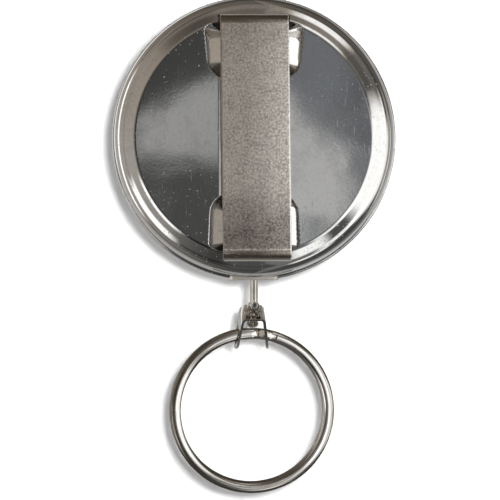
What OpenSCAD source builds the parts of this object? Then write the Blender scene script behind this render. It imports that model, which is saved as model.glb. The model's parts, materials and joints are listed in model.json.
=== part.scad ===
// Belt key clip: a round retractable key reel with a belt clip on its back,
// shown hanging, with its end link, swivel and split ring below.
// +Z is up. The case axis lies along Y, and the belt side faces -Y.
// y = 0 is the flat that a belt lies against, on the back cover.

/* [Case] */
// Outer diameter of the round case
case_d = 54; // [52:0.5:60]
// Depth of the case, from the belt flat to the front face
case_depth = 13; // [12.6:0.2:16]
// Thickness of the pressed steel covers
sheet_t = 0.6; // [0.4:0.05:0.7]
// Depth of the front cover, from the seam to its face
front_depth = 6.8; // [6.4:0.1:7.2]
// How far the back cover's skirt reaches into the front cover
skirt_reach = 3.4; // [2:0.2:4]
// Rounding of the back cover's shoulder
back_round = 2.2; // [1.6:0.1:2.6]
// Rounding of the front cover's shoulder
front_round = 2.4; // [1.6:0.1:2.8]
// Height of the pads above the shoulder around them
pad_step = 0.5; // [0.3:0.05:0.8]
// Width of the slope at the pads' round edge
pad_edge = 1.6; // [1:0.1:2]
// Width of the shallow channel behind the clip, at the pads
channel_w = 18; // [17:0.2:19]
// Depth of the shallow channel
channel_depth = 0.4; // [0.2:0.05:0.6]
// How far each side of the shallow channel slopes in
channel_slope = 4.2; // [3:0.1:5]
// Width of the pocket behind the clip's top
upper_pocket_w = 18.6; // [17:0.2:19]
// Width of the pocket behind the clip's bottom
lower_pocket_w = 16.8; // [16:0.2:18]
// Length of each pocket
pocket_len = 10; // [8:0.2:11]
// Depth of the pockets
pocket_depth = 2.2; // [1.8:0.1:2.4]
// How far each side wall of a pocket slopes in
pocket_slope = 3; // [2:0.1:3.4]
// How far the outer end wall of a pocket slopes in
pocket_end = 1; // [0.5:0.1:1.5]
// How far the inner end wall of a pocket slopes in
pocket_ramp = 2; // [1:0.1:3]
// Distance from a pocket's outer end to the pads' round edge
pocket_margin = 1.5; // [1.2:0.1:2]
// Distance from the case's edge to the front cover's raised middle
plateau_margin = 6; // [5:0.1:8]
// Width of the slope round the front cover's raised middle
plateau_edge = 0.8; // [0.5:0.1:1.2]

/* [Belt clip] */
// Width of the clip's strip, half an inch
clip_w = 12.7; // [11:0.1:14]
// Thickness of the clip's strip
clip_t = 0.8; // [0.6:0.05:1]
// Room for the belt between the clip and the pads
belt_gap = 4.4; // [4.2:0.1:6]
// Distance from the case's edge down to the clip's top
clip_top_inset = 4.6; // [4.4:0.1:4.8]
// Distance from the case's edge up to the clip's bottom
clip_end_inset = 3.7; // [3:0.1:4.4]
// Inner radius of the clip's bends
clip_bend = 0.9; // [0.6:0.1:1.4]
// How far the lower lip turns in towards the case
lip_reach = 1.6; // [1.2:0.1:2.2]
// Height of the clip's hook behind the cover
hook_len = 2; // [1.4:0.1:2.2]
// Room around the clip in its slot
slot_room = 0.4; // [0.3:0.05:0.6]

/* [Reel] */
// Diameter of the fixed axle
axle_d = 5; // [4:0.1:5.4]
// Diameter of the axle's riveted head
axle_head_d = 8; // [7:0.1:10]
// Thickness of the axle's riveted head
axle_head_t = 0.8; // [0.6:0.05:1]
// Share of the room round the hub that the wound chain takes
coil_share = 0.476; // [0.46:0.002:0.5]
// Wall of the drum's core
core_wall = 1.6; // [1.4:0.1:1.8]
// Distance from the case's edge to the wound chain
coil_room = 12; // [11.8:0.1:13]
// How far the drum's flanges stand out past the wound chain
flange_lip = 0.6; // [0.3:0.05:0.8]
// Thickness of the drum's flanges
flange_t = 0.6; // [0.4:0.05:0.7]
// Wall of the brass bushings
bush_wall = 0.9; // [0.7:0.05:1]
// Thickness of the washer under the drum
washer_t = 0.4; // [0.3:0.05:0.5]
// Thickness of the ring that keeps the drum on its axle
keeper_t = 0.6; // [0.4:0.05:0.7]
// Diameter of that ring
keeper_d = 9; // [8:0.2:11]
// Thickness of the power spring's ribbon
ribbon_t = 0.2; // [0.15:0.01:0.25]
// Turns of the power spring
ribbon_turns = 6; // [4:1:7]
// Diameter of the rivets through the drum
rivet_d = 0.9; // [0.7:0.05:1]

/* [Chain and link] */
// Wire of the chain's links
chain_wire = 0.9; // [0.7:0.05:0.95]
// Width of a chain link
chain_w = 3.3; // [3.2:0.05:3.5]
// Length of a chain link between its end wires' centres
chain_link_len = 3.9; // [3.7:0.05:4.2]
// Wire of the end link
link_wire = 1.3; // [1.1:0.05:1.35]
// Width of the end link
link_w = 4.2; // [4.1:0.05:4.4]
// Length of the end link between its end wires' centres
link_len = 7.3; // [6.8:0.1:8]
// Turn of the hanging pieces about the vertical
hang_turn = 5; // [0:1:10]

/* [Chain exit] */
// Width of the exit plate
plate_w = 9.1; // [8.4:0.1:10]
// Depth of the exit plate
plate_deep = 7.2; // [6.9:0.1:7.4]
// Thickness of the exit plate
plate_t = 0.8; // [0.6:0.05:1]
// How far the exit plate's outer face lies inside the case's edge
plate_inset = 0.1; // [0:0.05:0.2]
// Diameter of the hole that the chain runs through
exit_d = 5.2; // [5:0.05:5.3]
// Wall of the eyelet in that hole
eyelet_wall = 0.4; // [0.3:0.05:0.45]

/* [Swivel] */
// Tilt of the swivel, as it lies in the photograph
swivel_tilt = 32; // [0:1:40]
// Radius of the eye at the top of the swivel pin
eye_r = 1.2; // [1.1:0.02:1.25]
// Thickness of that eye
eye_t = 0.9; // [0.7:0.05:1]
// Diameter of the swivel pin
pin_d = 1.15; // [0.9:0.05:1.3]
// Room between the pin's head and the split ring
pin_clear = 0.48; // [0.4:0.02:1.2]
// Diameter of the pin's head
pin_head_d = 2.2; // [1.8:0.1:2.4]
// Height of the pin's head
pin_head_t = 0.8; // [0.6:0.05:0.85]
// Thickness of the stirrup's strip
stirrup_t = 0.5; // [0.4:0.05:0.6]
// Depth of the stirrup's strip
stirrup_deep = 5; // [4.4:0.1:5.4]
// Width of the stirrup across its shoulders
stirrup_w = 4.7; // [4.5:0.05:5.2]
// Outer radius of the stirrup's bends
stirrup_bend = 1.1; // [0.8:0.05:1.3]
// Angle that each leg leans outwards
leg_splay = 8; // [4:0.5:10]
// Distance from the stirrup's top to the ring's holes
leg_len = 5.3; // [5.2:0.05:6]
// Radius of the rounded leg ends
lobe_r = 2.7; // [2.6:0.05:3]
// Diameter of the holes that hold the split ring
ring_hole_d = 3.8; // [3.7:0.02:4]

/* [Split ring] */
// Outer diameter of the split ring, one and a quarter inches
ring_d = 31.75; // [28:0.25:36]
// Radial width of the split ring's wire
ring_wire_w = 2.15; // [1.8:0.05:2.3]
// Thickness of one turn of the split ring
ring_wire_t = 1.1; // [0.8:0.05:1.15]
// Gap between the split ring's two turns
ring_gap = 0.45; // [0.42:0.01:0.5]

/* [Hidden] */
$fn = 96;
// One overrun serves all cuts
over = 1;
// Running clearance on a radius
run_gap = 0.05;
// Clearance between pieces that only lie side by side
side_gap = 0.15;
steel = [0.74, 0.74, 0.75];
nickel = [0.68, 0.66, 0.62];
clip_steel = [0.52, 0.49, 0.46];
dark_steel = [0.35, 0.35, 0.38];
brass_tone = [0.78, 0.63, 0.3];
nylon = [0.86, 0.85, 0.8];

case_r = case_d / 2;
skirt_r = case_r - sheet_t - run_gap;
seam_depth = case_depth - front_depth;
front_in = case_depth - sheet_t;
floor_in = pocket_depth + sheet_t;
// A narrow flat between the pads' slope and the shoulder
rim_flat = 0.05;
pad_r = skirt_r - back_round - rim_flat - pad_edge;
pocket_out_z = pad_r - pocket_margin;
dimple_room = 0.5;
exit_y = (sheet_t + front_in) / 2;
plate_drop = case_r - plate_inset;
arc_steps = 8;

// Drum, worked out from the covers inwards
axle_r = axle_d / 2;
bush_r = axle_r + run_gap + bush_wall;
nose_room = 0.3;
nose_len = 0.2;
drum_back_y = floor_in + washer_t + run_gap;
drum_front_y = front_in - nose_room - nose_len - keeper_t - run_gap;
core_back_y = drum_back_y + flange_t;
core_front_y = drum_front_y - flange_t;
coil_r = case_r - coil_room;
core_r = coil_r - coil_share * (coil_r - bush_r);
flange_r = coil_r + flange_lip;
core_in = core_r - core_wall;
bush_reach = 0.7;
arbor_r = bush_r;
arbor_back_y = core_back_y + bush_reach + run_gap;
arbor_front_y = core_front_y - bush_reach - run_gap;
anchor_pin_r = 0.35;
anchor_reach = 0.3;
ribbon_in = arbor_r + run_gap + ribbon_t / 2;
ribbon_out = core_in - anchor_reach - ribbon_t;
ribbon_steps = 20;
rivets = 4;
first_rivet = 45;

// The chain guide's neck, which passes through the covers
neck_wall = 0.5;
neck_in = exit_d / 2 + eyelet_wall;
neck_out = neck_in + neck_wall;
retainer_t = 0.5;
retainer_w = 0.5;
retainer_gap = sheet_t + side_gap;
neck_len = plate_t + retainer_gap + retainer_t;
// Angle at which the eyelet's rolled mouth ends
mouth_end = 262;

// Chain, end link and swivel, worked out from the exit downwards
chain_bend = (chain_w - chain_wire) / 2;
chain_pitch = chain_link_len - chain_wire - run_gap;
link_bend = (link_w - link_wire) / 2;
link_top_z = -plate_drop + plate_t + link_wire - side_gap + run_gap;
link_bottom_z = link_top_z - link_len;
link_centre_z = link_bottom_z + link_bend;
chain_low_z = link_top_z - link_wire / 2 - chain_wire / 2 - run_gap;
web_drop = link_bend + eye_r + run_gap;
// The eye's hole is straight, so it leaves room for the link's bend inside it
eye_sag = link_bend - sqrt(link_bend * link_bend - eye_t * eye_t / 4);
eye_hole_r = link_wire / 2 + eye_sag + 2 * run_gap;
hole_drop = web_drop + leg_len;
tilt_y = sin(swivel_tilt);
tilt_z = cos(swivel_tilt);
hole_z = link_centre_z - hole_drop * tilt_z;
hole_out = hole_drop * tilt_y;
web_hole_r = pin_d / 2 + run_gap;

// Split ring
ring_mean = (ring_d - ring_wire_w) / 2;
leg_half = stirrup_w / 2 + (leg_len - stirrup_bend) * tan(leg_splay) - stirrup_t / 2;
ring_sag = ring_mean - sqrt(ring_mean * ring_mean - leg_half * leg_half);
ring_centre_z = hole_z + ring_sag - ring_mean;
layer_y = (ring_wire_t + ring_gap) / 2;
ring_half = ring_wire_t + ring_gap / 2;
pin_len = leg_len - ring_sag - ring_half - pin_clear - pin_head_t - stirrup_t;
ring_start = 19;
cross_from = 361;
cross_to = 375;
ring_end = 716;
ring_step = 6;

// Clip
clip_in_y = -belt_gap;
clip_top = case_r - clip_top_inset;
clip_bottom = case_r - clip_end_inset;
hook_gap = 0.4;
hook_y = pad_step + sheet_t + hook_gap;
anchor_foot_w = 2.1;
slot_half = clip_w / 2 + slot_room;

// Points of an arc about a centre, from angle a0 to angle a1
function arc(cx, cy, r, a0, a1) =
    [for (i = [0 : arc_steps])
        let (a = a0 + (a1 - a0) * i / arc_steps)
        [cx + r * cos(a), cy + r * sin(a)]];

// Profile of the back cover, as radius and depth. inset moves it into the sheet.
function back_profile(inset) =
    let (
        r_bend = back_round - inset,
        y_rim = pad_step + inset
    )
    concat(
        [[0, inset], [pad_r - inset / 2, inset]],
        [[pad_r + pad_edge - inset / 2, y_rim]],
        arc(skirt_r - back_round, pad_step + back_round, r_bend, -90, 0)
    );

// Profile of the front cover, as radius and depth
function front_profile(inset) =
    let (
        r_bend = front_round - inset,
        y_rim = case_depth - pad_step - inset,
        y_mid = case_depth - inset,
        r_mid = case_r - plateau_margin
    )
    concat(
        arc(case_r - front_round, case_depth - pad_step - front_round, r_bend, 0, 90),
        [[r_mid + plateau_edge - inset / 2, y_rim]],
        [[r_mid - inset / 2, y_mid], [0, y_mid]]
    );

// Turns a profile of radius and depth about the case axis
module turned(points) {
    rotate([-90, 0, 0])
        rotate_extrude($fn = 180)
            polygon(points);
}

// A disc or tube about the case axis, from one depth to another
module disc(r, y0, y1) {
    translate([0, y0, 0])
        rotate([-90, 0, 0])
            cylinder(r = r, h = y1 - y0);
}

module tube(r_out, r_in, y0, y1) {
    difference() {
        disc(r_out, y0, y1);
        disc(r_in, y0 - over, y1 + over);
    }
}

// A pressed hollow with sloping sides and ends, from height z0 up to height z1.
// run0 and run1 are how far its ends slope in, and grow thickens it.
module hollow(width, depth, side_run, z0, z1, run0, run1, grow) {
    top_x = width / 2 + grow;
    low_x = top_x - side_run;
    low_y = depth + grow;
    lead_x = over * side_run / low_y;
    lead0 = over * run0 / low_y;
    lead1 = over * run1 / low_y;
    intersection() {
        translate([0, 0, z0 - grow - lead0])
            linear_extrude(height = z1 - z0 + 2 * grow + lead0 + lead1)
                polygon([[-top_x - lead_x, -over], [top_x + lead_x, -over],
                    [low_x, low_y], [-low_x, low_y]]);
        rotate([0, 90, 0])
            translate([0, 0, -top_x - lead_x])
                linear_extrude(height = 2 * (top_x + lead_x))
                    polygon([[-z1 - grow - lead1, -over], [-z0 + grow + lead0, -over],
                        [-z0 + grow - run0, low_y], [-z1 - grow + run1, low_y]]);
    }
}

// All that is pressed into the back cover behind the clip. grow thickens it.
module pressed_form(grow) {
    in_z = pocket_out_z - pocket_len;
    hollow(upper_pocket_w, pocket_depth, pocket_slope, in_z, pocket_out_z,
        pocket_ramp, pocket_end, grow);
    hollow(lower_pocket_w, pocket_depth, pocket_slope, -pocket_out_z, -in_z,
        pocket_end, pocket_ramp, grow);
    hollow(channel_w, channel_depth, channel_slope, -pocket_out_z + pocket_end,
        pocket_out_z - pocket_end, pocket_end, pocket_end, grow);
    disc(axle_head_d / 2 + dimple_room + grow, -over, pocket_depth + grow);
}

// The notch that both covers leave for the chain guide
module exit_notch() {
    notch_x = plate_w / 2 + run_gap;
    notch_y = plate_deep / 2 + run_gap;
    translate([-notch_x, exit_y - notch_y, -case_r - over])
        cube([2 * notch_x, 2 * notch_y, case_r + over - plate_drop + plate_t + run_gap]);
    translate([0, exit_y, -case_r - over])
        cylinder(r = neck_out + run_gap, h = case_r + over - plate_drop + neck_len);
}

// The slot in the back cover that the clip hooks into
module clip_slot() {
    translate([-slot_half, -over, clip_top - clip_t - slot_room])
        cube([2 * slot_half, hook_y + over, clip_t + 2 * slot_room]);
}

module back_cover() {
    skirt_end = seam_depth + skirt_reach;
    color(steel)
        difference() {
            difference() {
                turned(concat(back_profile(0), [[skirt_r, skirt_end], [0, skirt_end]]));
                pressed_form(0);
            }
            difference() {
                turned(concat(back_profile(sheet_t),
                    [[skirt_r - sheet_t, skirt_end + over], [0, skirt_end + over]]));
                pressed_form(sheet_t);
            }
            clip_slot();
            disc(axle_r + run_gap, 0, floor_in + over);
            exit_notch();
        }
}

module front_cover() {
    color(steel)
        difference() {
            turned(concat([[0, seam_depth], [case_r, seam_depth]], front_profile(0)));
            turned(concat([[0, seam_depth - over], [case_r - sheet_t, seam_depth - over]],
                front_profile(sheet_t)));
            exit_notch();
        }
}

// Side view of the clip's strip, as depth and height
module clip_outline() {
    r_out = clip_bend + clip_t;
    mid_y = clip_in_y + clip_bend;
    top_z = clip_top - r_out;
    low_z = -clip_bottom + r_out;
    lip_y = mid_y + lip_reach;
    hook_z = clip_top - clip_t + hook_len;
    polygon(concat(
        arc(mid_y, top_z, r_out, 180, 90),
        [[hook_y, clip_top], [hook_y, hook_z], [hook_y + clip_t, hook_z]],
        [[hook_y + clip_t, clip_top - clip_t]],
        arc(mid_y, top_z, clip_bend, 90, 180),
        arc(mid_y, low_z, clip_bend, 180, 270),
        [[lip_y, -clip_bottom + clip_t], [lip_y, -clip_bottom]],
        arc(mid_y, low_z, r_out, 270, 180)
    ));
}

module belt_clip() {
    color(clip_steel)
        rotate([90, 0, 90])
            translate([0, 0, -clip_w / 2])
                linear_extrude(height = clip_w)
                    clip_outline();
}

// Bar welded inside the back cover, which keeps the hook from dropping out
module clip_anchor() {
    bar_t = sheet_t;
    bar_y = hook_y + clip_t + hook_gap;
    bar_z = pocket_out_z + sheet_t + side_gap;
    foot_y = pad_step + sheet_t;
    foot_x = slot_half + side_gap;
    color(dark_steel)
        intersection() {
            union() {
                translate([-foot_x - anchor_foot_w, bar_y, bar_z])
                    cube([2 * (foot_x + anchor_foot_w), bar_t, case_r]);
                for (side = [-1, 1])
                    translate([side * (foot_x + anchor_foot_w / 2) - anchor_foot_w / 2, foot_y, bar_z])
                        cube([anchor_foot_w, bar_y - foot_y + bar_t, case_r]);
            }
            disc(skirt_r - back_round - side_gap, -over, front_in);
        }
}

module chain_guide() {
    color(nickel)
        translate([0, exit_y, -plate_drop])
            difference() {
                union() {
                    translate([-plate_w / 2, -plate_deep / 2, 0])
                        cube([plate_w, plate_deep, plate_t]);
                    cylinder(r = neck_out, h = neck_len);
                }
                translate([0, 0, -over])
                    cylinder(r = neck_in, h = neck_len + 2 * over);
            }
}

// Rolled eyelet that lines the exit, with a rounded mouth
module guide_eyelet() {
    color(nickel)
        translate([0, exit_y, -plate_drop])
            rotate_extrude()
                polygon(concat(
                    [[neck_in - run_gap, neck_len], [exit_d / 2, neck_len]],
                    arc(neck_in, eyelet_wall, eyelet_wall, 180, mouth_end)
                ));
}

// Spring ring that grips the guide's neck inside the case
module guide_retainer() {
    color(dark_steel)
        translate([0, exit_y, -plate_drop + plate_t + retainer_gap])
            difference() {
                cylinder(r = neck_out + retainer_w, h = retainer_t);
                translate([0, 0, -over])
                    cylinder(r = neck_out, h = retainer_t + 2 * over);
            }
}

module axle_post() {
    color(dark_steel)
        union() {
            disc(axle_head_d / 2, pocket_depth - axle_head_t, pocket_depth);
            disc(axle_r, pocket_depth - axle_head_t / 2, front_in - nose_room);
        }
}

module axle_washer() {
    color(brass_tone)
        tube(bush_r + bush_wall, axle_r + run_gap, floor_in, floor_in + washer_t);
}

module axle_keeper() {
    keeper_y = drum_front_y + run_gap;
    color(dark_steel)
        tube(keeper_d / 2, axle_r, keeper_y, keeper_y + keeper_t);
}

// Places its children at each rivet of the drum
module at_rivets() {
    for (i = [0 : rivets - 1])
        rotate([0, first_rivet + i * 360 / rivets, 0])
            translate([core_r - core_wall / 2, 0, 0])
                children();
}

module drum_core() {
    color(nylon)
        difference() {
            tube(core_r, core_in, core_back_y, core_front_y);
            at_rivets()
                disc(rivet_d / 2, core_back_y - over, core_front_y + over);
            translate([core_in, 0, 0])
                disc(anchor_pin_r, core_back_y - over, core_front_y + over);
        }
}

module drum_flange(y) {
    difference() {
        tube(flange_r, bush_r, y, y + flange_t);
        at_rivets()
            disc(rivet_d / 2, y - over, y + flange_t + over);
    }
}

module drum_flange_back() {
    color(steel)
        drum_flange(drum_back_y);
}

module drum_flange_front() {
    color(steel)
        drum_flange(core_front_y);
}

module drum_rivets() {
    color(brass_tone)
        at_rivets()
            disc(rivet_d / 2, drum_back_y, drum_front_y);
}

module hub_bushing_back() {
    color(brass_tone)
        tube(bush_r, axle_r + run_gap, drum_back_y, core_back_y + bush_reach);
}

module hub_bushing_front() {
    color(brass_tone)
        tube(bush_r, axle_r + run_gap, core_front_y - bush_reach, drum_front_y);
}

// Sleeve pressed on the axle, which the spring's inner end grips
module spring_arbor() {
    color(dark_steel)
        tube(arbor_r, axle_r, arbor_back_y, arbor_front_y);
}

// One side of the spiral ribbon, offset from its middle line
function ribbon_side(offset) =
    let (steps = ribbon_turns * ribbon_steps)
    [for (i = [0 : steps])
        let (
            a = 360 * ribbon_turns * i / steps,
            r = ribbon_in + (ribbon_out - ribbon_in) * i / steps + offset
        )
        [r * cos(a), r * sin(a)]];

function backwards(list) = [for (i = [len(list) - 1 : -1 : 0]) list[i]];

module power_spring() {
    color(dark_steel)
        translate([0, arbor_front_y, 0])
            rotate([90, 0, 0])
                linear_extrude(height = arbor_front_y - arbor_back_y)
                    polygon(concat(ribbon_side(ribbon_t / 2),
                        backwards(ribbon_side(-ribbon_t / 2))));
}

// Pin in the core's wall that holds the spring's outer end
module spring_anchor_pin() {
    color(brass_tone)
        translate([core_in, 0, 0])
            disc(anchor_pin_r - run_gap / 2, core_back_y, core_front_y);
}

module chain_coil() {
    color(nickel)
        tube(coil_r, core_r + run_gap, core_back_y + side_gap, core_front_y - side_gap);
}

// Closed link of round wire that stands in the Y-Z plane, with its lower end
// wire's centre at the origin
module wire_link(wire, bend, length) {
    half = length - 2 * bend;
    rotate([0, 0, 90])
        translate([0, 0, bend]) {
            for (end = [0, 1])
                translate([0, 0, end * half])
                    rotate([90, 0, 0])
                        rotate([0, 0, 180 * (1 - end)])
                            rotate_extrude(angle = 180)
                                translate([bend, 0])
                                    circle(d = wire, $fn = 48);
            for (side = [-1, 1])
                translate([side * bend, 0, 0])
                    cylinder(d = wire, h = half, $fn = 48);
        }
}

// Places its children in the frame of the hanging pieces, at the exit
module hanging() {
    translate([0, exit_y, 0])
        rotate([0, 0, hang_turn])
            children();
}

module chain_link(count) {
    color(nickel)
        hanging()
            translate([0, 0, chain_low_z + count * chain_pitch])
                rotate([0, 0, 90 * (1 - count % 2)])
                    wire_link(chain_wire, chain_bend, chain_link_len);
}

module chain_link_lower() {
    chain_link(0);
}

module chain_link_middle() {
    chain_link(1);
}

module chain_link_upper() {
    chain_link(2);
}

module end_link() {
    color(nickel)
        hanging()
            translate([0, 0, link_bottom_z])
                wire_link(link_wire, link_bend, link_len);
}

// Frame of the swivel: its origin is the middle of the stirrup's top face,
// and -Z runs down the pin
module swivel_frame() {
    hanging()
        translate([0, 0, link_centre_z])
            rotate([swivel_tilt, 0, 0])
                translate([0, 0, -web_drop])
                    children();
}

module swivel_pin() {
    eye_z = web_drop - link_bend;
    shank = eye_z - eye_r / 2 + stirrup_t + pin_len;
    head_z = -stirrup_t - pin_len;
    dome = pin_head_t / 2;
    color(nickel)
        swivel_frame()
            difference() {
                union() {
                    translate([0, eye_t / 2, eye_z])
                        rotate([90, 0, 0])
                            cylinder(r = eye_r, h = eye_t);
                    translate([0, 0, head_z])
                        cylinder(d = pin_d, h = shank);
                    translate([0, 0, head_z - pin_head_t])
                        rotate_extrude()
                            polygon([[0, 0], [pin_head_d / 2 - dome, 0],
                                [pin_head_d / 2, dome], [pin_head_d / 2, pin_head_t],
                                [0, pin_head_t]]);
                }
                translate([0, eye_t, eye_z])
                    rotate([90, 0, 0])
                        cylinder(r = eye_hole_r, h = 2 * eye_t);
            }
}

// Front view of the stirrup's strip. inset is zero on its outside.
function stirrup_side(inset) =
    let (
        bend = stirrup_bend - inset,
        lean = leg_splay,
        cx = stirrup_w / 2 - stirrup_bend,
        foot = leg_len + lobe_r + stirrup_t,
        run = foot - stirrup_bend
    )
    concat(
        arc(cx, -stirrup_bend, bend, 90, lean),
        [[cx + bend * cos(lean) + (run + bend * sin(lean)) * tan(lean), -foot]]
    );

module stirrup_strip() {
    outer = stirrup_side(0);
    inner = stirrup_side(stirrup_t);
    mirrored = [for (p = backwards(outer)) [-p[0], p[1]]];
    mirrored_in = [for (p = inner) [-p[0], p[1]]];
    polygon(concat(mirrored, outer, backwards(inner), mirrored_in));
}

module swivel_stirrup() {
    wide = stirrup_w + 2 * lobe_r;
    color(nickel)
        swivel_frame()
            difference() {
                intersection() {
                    translate([0, stirrup_deep / 2 + over, 0])
                        rotate([90, 0, 0])
                            linear_extrude(height = stirrup_deep + 2 * over)
                                stirrup_strip();
                    union() {
                        translate([-wide / 2, -stirrup_deep / 2, -leg_len])
                            cube([wide, stirrup_deep, leg_len + over]);
                        translate([-wide / 2, 0, -leg_len])
                            rotate([0, 90, 0])
                                cylinder(r = lobe_r, h = wide);
                    }
                }
                translate([-wide, 0, -leg_len])
                    rotate([0, 90, 0])
                        cylinder(d = ring_hole_d, h = 2 * wide);
                translate([0, 0, -stirrup_t - over])
                    cylinder(r = web_hole_r, h = stirrup_t + 2 * over);
            }
}

// Depth of the wire's middle at an angle round the split ring
function ring_depth(a) =
    let (s = min(1, max(0, (a - cross_from) / (cross_to - cross_from))))
    layer_y * (2 * s * s * (3 - 2 * s) - 1);

// Corners of the wire's section, as shares of its width and thickness
section_shares = [[-0.5, -0.22], [-0.28, -0.5], [0.28, -0.5], [0.5, -0.22],
    [0.5, 0.22], [0.28, 0.5], [-0.28, 0.5], [-0.5, 0.22]];

function ring_angles() =
    [for (i = [0 : ceil((ring_end - ring_start) / ring_step)])
        min(ring_end, ring_start + i * ring_step)];

// One section of the wire, at an angle clockwise from the top
function ring_section(a) =
    [for (s = section_shares)
        let (r = ring_mean + s[0] * ring_wire_w)
        [r * sin(a), ring_depth(a) + s[1] * ring_wire_t, r * cos(a)]];

module split_ring() {
    angles = ring_angles();
    rings = len(angles);
    sides = len(section_shares);
    points = [for (a = angles) each ring_section(a)];
    walls = [for (i = [0 : rings - 2]) for (j = [0 : sides - 1])
        let (
            a = i * sides + j,
            b = i * sides + (j + 1) % sides,
            c = a + sides,
            d = b + sides
        )
        each [[a, b, d], [a, d, c]]];
    first = [for (j = [1 : sides - 2]) [0, j + 1, j]];
    last_0 = (rings - 1) * sides;
    last = [for (j = [1 : sides - 2]) [last_0, last_0 + j, last_0 + j + 1]];
    // Least gap between the two turns, from the depths of points one turn apart
    gaps = [for (a = [ring_start : ring_step / 2 : ring_end - 360])
        if (a + 360 > cross_to) ring_depth(a + 360) - ring_depth(a) - ring_wire_t];
    end_gap = 2 * ring_mean * sin((ring_start + 360 - cross_to) / 2);
    echo(split_ring_least_gap = min(gaps), split_ring_end_gap = end_gap);
    color(nickel)
        hanging()
            translate([0, hole_out, ring_centre_z])
                polyhedron(points = points, faces = concat(walls, first, last));
}

back_cover();
front_cover();
belt_clip();
clip_anchor();
chain_guide();
guide_eyelet();
guide_retainer();
axle_post();
axle_washer();
axle_keeper();
drum_core();
drum_flange_back();
drum_flange_front();
drum_rivets();
hub_bushing_back();
hub_bushing_front();
spring_arbor();
power_spring();
spring_anchor_pin();
chain_coil();
chain_link_lower();
chain_link_middle();
chain_link_upper();
end_link();
swivel_pin();
swivel_stirrup();
split_ring();
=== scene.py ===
# %% [markdown]
# # A belt key clip: a retractable key reel of polished steel
# A round steel case holds a chain on a spring-loaded drum. A matte clip on its back
# hooks over a belt, and a link, a swivel and a split ring hang out of its lowest point.
# We load the finished machine model as a frame, give each piece that shows a finer
# surface, and then spend most of our effort on the metals and on what they mirror.

# %% Load the frame
import json
import math
import bpy
import numpy as np
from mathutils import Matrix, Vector

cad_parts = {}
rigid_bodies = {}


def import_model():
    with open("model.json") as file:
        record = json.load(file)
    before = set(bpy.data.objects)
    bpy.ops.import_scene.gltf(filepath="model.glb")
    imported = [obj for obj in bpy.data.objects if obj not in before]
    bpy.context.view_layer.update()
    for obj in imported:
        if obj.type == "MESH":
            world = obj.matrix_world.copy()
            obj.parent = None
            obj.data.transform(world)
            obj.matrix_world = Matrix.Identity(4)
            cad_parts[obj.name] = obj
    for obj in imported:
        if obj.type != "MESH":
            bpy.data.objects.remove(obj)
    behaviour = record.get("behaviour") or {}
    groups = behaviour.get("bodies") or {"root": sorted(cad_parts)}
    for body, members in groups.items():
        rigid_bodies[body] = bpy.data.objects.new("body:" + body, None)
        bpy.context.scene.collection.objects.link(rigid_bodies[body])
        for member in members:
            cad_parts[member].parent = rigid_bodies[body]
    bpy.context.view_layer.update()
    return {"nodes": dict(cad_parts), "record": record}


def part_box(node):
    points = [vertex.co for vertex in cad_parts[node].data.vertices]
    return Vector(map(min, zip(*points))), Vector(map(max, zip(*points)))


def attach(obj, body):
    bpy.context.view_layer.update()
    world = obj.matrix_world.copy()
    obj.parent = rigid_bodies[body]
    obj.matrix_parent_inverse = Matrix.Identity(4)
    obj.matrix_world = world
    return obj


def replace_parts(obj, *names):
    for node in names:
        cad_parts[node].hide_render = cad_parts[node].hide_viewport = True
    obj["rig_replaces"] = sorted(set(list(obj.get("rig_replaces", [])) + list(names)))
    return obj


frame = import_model()
MM = 0.001
print("pieces in the frame:", len(frame["nodes"]))

# %% [markdown]
# ## Sizes from the frame
# Each piece that we draw anew has to fit the ones round it, so its main sizes are read
# from the boxes of the frame's pieces. A maker thinks in millimetres and Blender works
# in metres: every size below is in mm, and is multiplied by MM where Blender takes it.

# %% Measure the frame
def frame_box(node):
    """The lowest and the highest corner of a piece of the frame, in mm."""
    return [[round(c / MM, 2) for c in corner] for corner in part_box(node)]


CASE_R, CASE_DEPTH = frame_box("front_cover")[1][:2]
SKIRT_R, SKIRT_END = frame_box("back_cover")[1][:2]
CLIP_LOW, CLIP_HIGH = frame_box("belt_clip")
GUIDE_LOW, GUIDE_HIGH = frame_box("chain_guide")
EXIT_Y = (GUIDE_LOW[1] + GUIDE_HIGH[1]) / 2
# Thickness of the case's sheet, of the clip's strip and of the guide's plate
SHEET, CLIP_T, PLATE_T = 0.6, 0.8, 0.8
# Room between pieces that fit into each other
FIT = 0.05
print("case radius and depth:", CASE_R, CASE_DEPTH, "and chain exit at y =", EXIT_Y)

# %% [markdown]
# ## Working with operators
# Operators act on whatever is selected, so each new piece starts from a clean
# selection. These helpers pick objects and name what an operator has added, which is
# what a hand with a mouse would do.

# %% Helpers for selecting
def pick(piece):
    """Select only this object and make it the active one."""
    if bpy.context.object and bpy.context.object.mode != "OBJECT":
        bpy.ops.object.mode_set(mode="OBJECT")
    bpy.ops.object.select_all(action="DESELECT")
    piece.select_set(True)
    bpy.context.view_layer.objects.active = piece


def start(name):
    """Name the object that an operator has just added."""
    piece = bpy.context.object
    piece.name = piece.data.name = name
    return piece


# %% [markdown]
# ## Drawing a profile and turning it
# Pressed covers, eyelets and pins are all turned shapes. By hand we would draw half of
# the section point by point and spin it about its axis. A plane that is merged to one
# point gives us that first point, and each extrusion adds the next one. Strips are drawn
# in the same way, seen from their edge, and are then pulled out to their width.

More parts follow.
